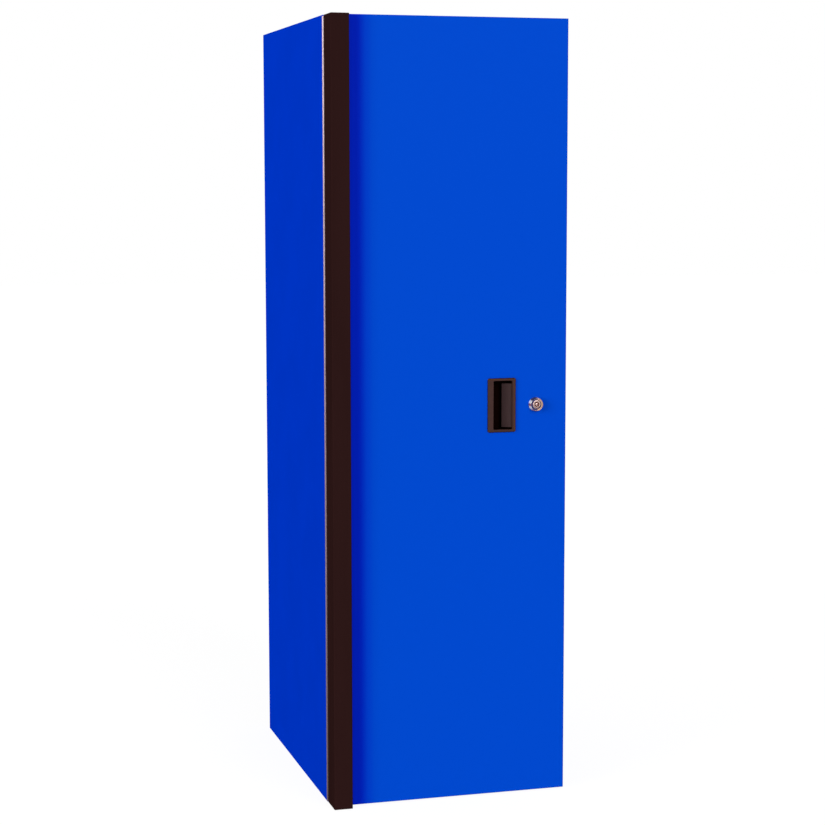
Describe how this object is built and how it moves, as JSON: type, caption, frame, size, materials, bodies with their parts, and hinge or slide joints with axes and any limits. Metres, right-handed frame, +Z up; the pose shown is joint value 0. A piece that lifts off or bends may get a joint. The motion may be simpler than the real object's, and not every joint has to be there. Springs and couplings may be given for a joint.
{
  "type": "tool chest side locker",
  "caption": "Tall steel side locker for a tool chest: one full-height hinged door with a cup pull and a cam lock, shelves inside.",
  "frame": {"origin": "on the ground, at the middle of the overall box in plan", "axes": "+Z up, -Y out of the door, +X towards the free edge of the door and the chest beside it"},
  "size_m": [0.4851, 0.635, 1.5494],
  "materials": {
    "body_paint": "smooth royal blue powder coat, semi-gloss",
    "door_paint": "smooth royal blue powder coat, semi-gloss",
    "zinc_steel": "bright zinc plate",
    "hinge_steel": "bright rolled stainless steel",
    "post_finish": "very dark brown satin coat on an aluminium extrusion",
    "cap_plastic": "very dark brown moulded plastic",
    "pull_plastic": "dark brown fine-grained moulding",
    "lock_chrome": "bright chrome",
    "catch_plastic": "black moulded plastic with a magnet inside",
    "buffer_rubber": "black rubber"
  },
  "bodies": {
    "cabinet": {"left_side": "body_paint", "right_side": "body_paint", "back_panel": "body_paint", "base_pan": "body_paint", "top_pan": "body_paint", "lower_shelf": "body_paint", "middle_shelf": "body_paint", "upper_shelf": "body_paint", "front_left_standard": "zinc_steel", "front_right_standard": "zinc_steel", "rear_left_standard": "zinc_steel", "rear_right_standard": "zinc_steel", "shelf_clips": "zinc_steel", "lock_keeper": "zinc_steel", "hinge_body_leaf": "hinge_steel", "hinge_pin": "hinge_steel", "lower_magnet_catch": "catch_plastic", "upper_magnet_catch": "catch_plastic", "door_buffers": "buffer_rubber"},
    "door": {"door_pan": "door_paint", "door_stiffener": "door_paint", "door_post": "post_finish", "post_top_cap": "cap_plastic", "post_bottom_cap": "cap_plastic", "hinge_door_leaf": "hinge_steel", "pull_cup": "pull_plastic", "pull_strap": "zinc_steel", "lock_housing": "lock_chrome", "lock_nut": "zinc_steel", "strike_plates": "zinc_steel"},
    "lock": {"lock_core": "lock_chrome", "lock_cam": "zinc_steel"}
  },
  "joints": [
    {"name": "door_swing", "type": "hinge", "parent": "cabinet", "child": "door", "pos_m": [-0.24005, -0.25965, 0.7747], "axis": [0, 0, -1], "range_deg": [0, 170]},
    {"name": "lock_turn", "type": "hinge", "parent": "door", "child": "lock", "pos_m": [0.17805, -0.3025, 0.792], "axis": [0, -1, 0], "range_deg": [0, 90]}
  ]
}
